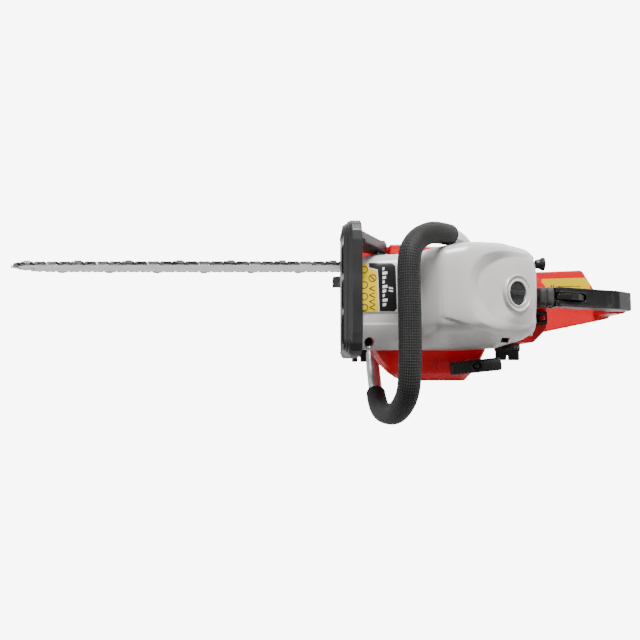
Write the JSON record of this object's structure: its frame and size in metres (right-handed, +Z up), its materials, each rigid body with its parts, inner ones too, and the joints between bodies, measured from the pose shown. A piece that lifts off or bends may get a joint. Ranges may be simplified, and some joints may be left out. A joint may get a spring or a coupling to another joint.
{
  "type": "petrol chainsaw",
  "caption": "Petrol chainsaw with a long guide bar, looped front handle, leaning hand guard, rear handle with trigger and recoil starter, built up from engine to chain.",
  "frame": {"origin": "on the resting plane, straight below the crankshaft's axis and in the rear handle's middle plane", "axes": "+X along the guide bar to its tip, +Y to the saw's left (starter side), +Z up"},
  "size_m": [0.8388, 0.2416, 0.2694],
  "materials": {
    "red_plastic": "satin moulded red plastic",
    "grey_plastic": "satin moulded light warm grey plastic",
    "black_plastic": "fine-textured black nylon",
    "black_rubber": "soft black rubber, knurled on the handle",
    "cast_aluminium": "as-cast",
    "bare_aluminium": "drawn or machined",
    "steel": "machined",
    "bar_steel": "ground",
    "chain_steel": "hard chromed cutters, blued links",
    "dark_steel": "heat-proof black",
    "ceramic": "glazed",
    "felt": "pressed felt",
    "cord": "braided"
  },
  "bodies": {
    "saw": {"crankcase": "cast_aluminium", "cylinder": "cast_aluminium", "spark_plug": "ceramic", "plug_boot": "black_rubber", "ignition_coil": "black_plastic", "recoil_spring": "steel", "starter_rope": "cord", "starter_cover": "red_plastic", "muffler": "dark_steel", "intake_boot": "black_rubber", "carburettor": "cast_aluminium", "air_filter": "felt", "top_cover": "grey_plastic", "fuel_tank": "red_plastic", "rear_grip": "black_plastic", "grip_boot": "black_rubber", "switch_housing": "black_plastic", "front_handle_tube": "bare_aluminium", "front_handle_grip": "black_rubber", "handle_clamp": "black_plastic", "guard_pivot_pin": "steel", "clutch_cover": "red_plastic", "brake_band": "steel", "guide_bar": "bar_steel", "saw_chain": "chain_steel", "bumper_spikes": "dark_steel", "chain_catcher": "cast_aluminium", "bar_stud_1": "steel", "bar_stud_2": "steel", "bar_nut_1": "steel", "bar_nut_2": "steel", "oil_pump": "cast_aluminium", "tensioner_screw": "steel", "vibration_mount_1": "black_rubber", "vibration_mount_2": "black_rubber"},
    "hand_guard": {"hand_guard": "black_plastic"},
    "trigger": {"throttle_trigger": "black_plastic"},
    "lockout": {"throttle_lockout": "black_plastic"},
    "throttle": {"throttle_plate": "steel"},
    "choke": {"choke_knob": "black_plastic"},
    "choke_plate": {"choke_plate": "steel"},
    "stop_switch": {"stop_switch": "red_plastic"},
    "starter_grip": {"starter_grip": "black_plastic"},
    "starter_pulley": {"starter_pulley": "black_plastic"},
    "crankshaft": {"crank_half_left": "steel", "crank_half_right": "steel", "flywheel": "cast_aluminium", "clutch_hub": "steel", "clutch_shoe_1": "steel", "clutch_shoe_2": "steel", "clutch_shoe_3": "steel"},
    "clutch_drum": {"clutch_drum": "steel"},
    "nose_sprocket": {"nose_sprocket": "steel"},
    "piston": {"piston": "bare_aluminium", "piston_pin": "steel", "connecting_rod": "steel", "crank_pin": "steel"},
    "fuel_cap": {"fuel_cap": "black_plastic"},
    "oil_cap": {"oil_cap": "black_plastic"},
    "cover_knob": {"cover_knob": "black_plastic"}
  },
  "joints": [
    {"name": "guard_pivot", "type": "hinge", "parent": "saw", "child": "hand_guard", "pos_m": [0.056, -0.062, 0.138], "axis": [0, 1, 0], "range_deg": [0, 18]},
    {"name": "trigger_pivot", "type": "hinge", "parent": "saw", "child": "trigger", "pos_m": [-0.184, 0, 0.122], "axis": [0, 1, 0], "range_deg": [0, 14], "stiffness_Nm_per_rad": 0.08, "springref_deg": -17.19},
    {"name": "lockout_pivot", "type": "hinge", "parent": "saw", "child": "lockout", "pos_m": [-0.171, 0, 0.14094], "axis": [0, -1, 0], "range_deg": [0, 7], "stiffness_Nm_per_rad": 0.08, "springref_deg": -11.46},
    {"name": "throttle_spindle", "type": "hinge", "parent": "saw", "child": "throttle", "pos_m": [-0.0656, 0, 0.138], "axis": [0, 1, 0], "range_deg": [0, 75]},
    {"name": "choke_pull", "type": "slide", "parent": "saw", "child": "choke", "axis": [-1, 0, 0], "range_m": [0, 0.01]},
    {"name": "choke_spindle", "type": "hinge", "parent": "saw", "child": "choke_plate", "pos_m": [-0.0816, 0, 0.138], "axis": [0, 1, 0], "range_deg": [0, 75]},
    {"name": "stop_toggle", "type": "hinge", "parent": "saw", "child": "stop_switch", "pos_m": [-0.158, 0.024, 0.1043], "axis": [0, 1, 0], "range_deg": [-8, 8]},
    {"name": "rope_pull", "type": "slide", "parent": "saw", "child": "starter_grip", "axis": [0, 0, 1], "range_m": [0, 0.7], "stiffness_N_per_m": 6, "springref_m": -0.6, "deforming": ["starter_rope"]},
    {"name": "pulley_spin", "type": "hinge", "parent": "saw", "child": "starter_pulley", "pos_m": [0, 0.078, 0.082], "axis": [0, 1, 0], "range_deg": [0, 1900]},
    {"name": "crank_spin", "type": "hinge", "parent": "saw", "child": "crankshaft", "pos_m": [0, 0, 0.082], "axis": [0, 1, 0], "continuous": true},
    {"name": "drum_spin", "type": "hinge", "parent": "saw", "child": "clutch_drum", "pos_m": [0, -0.045, 0.082], "axis": [0, 1, 0], "continuous": true},
    {"name": "nose_spin", "type": "hinge", "parent": "saw", "child": "nose_sprocket", "pos_m": [0.5165, -0.048, 0.08], "axis": [0, 1, 0], "continuous": true},
    {"name": "piston_stroke", "type": "slide", "parent": "saw", "child": "piston", "axis": [0, 0, -1], "range_m": [0, 0.031]},
    {"name": "fuel_cap_turn", "type": "hinge", "parent": "saw", "child": "fuel_cap", "pos_m": [-0.125, 0.056, 0.058], "axis": [0, -1, 0], "range_deg": [0, 540]},
    {"name": "oil_cap_turn", "type": "hinge", "parent": "saw", "child": "oil_cap", "pos_m": [0.081, 0.059, 0.088], "axis": [0, -1, 0], "range_deg": [0, 540]},
    {"name": "cover_knob_turn", "type": "hinge", "parent": "saw", "child": "cover_knob", "pos_m": [-0.107, 0, 0.18398], "axis": [-0.5346, 0, 0.8451], "range_deg": [0, 1080]}
  ],
  "couplings": [
    {"joint": "throttle_spindle", "follows": "trigger_pivot", "ratio": 5.3},
    {"joint": "choke_spindle", "follows": "choke_pull", "rad_per_m": 125},
    {"joint": "pulley_spin", "follows": "rope_pull", "rad_per_m": 46},
    {"joint": "nose_spin", "follows": "drum_spin", "ratio": 0.63636}
  ]
}
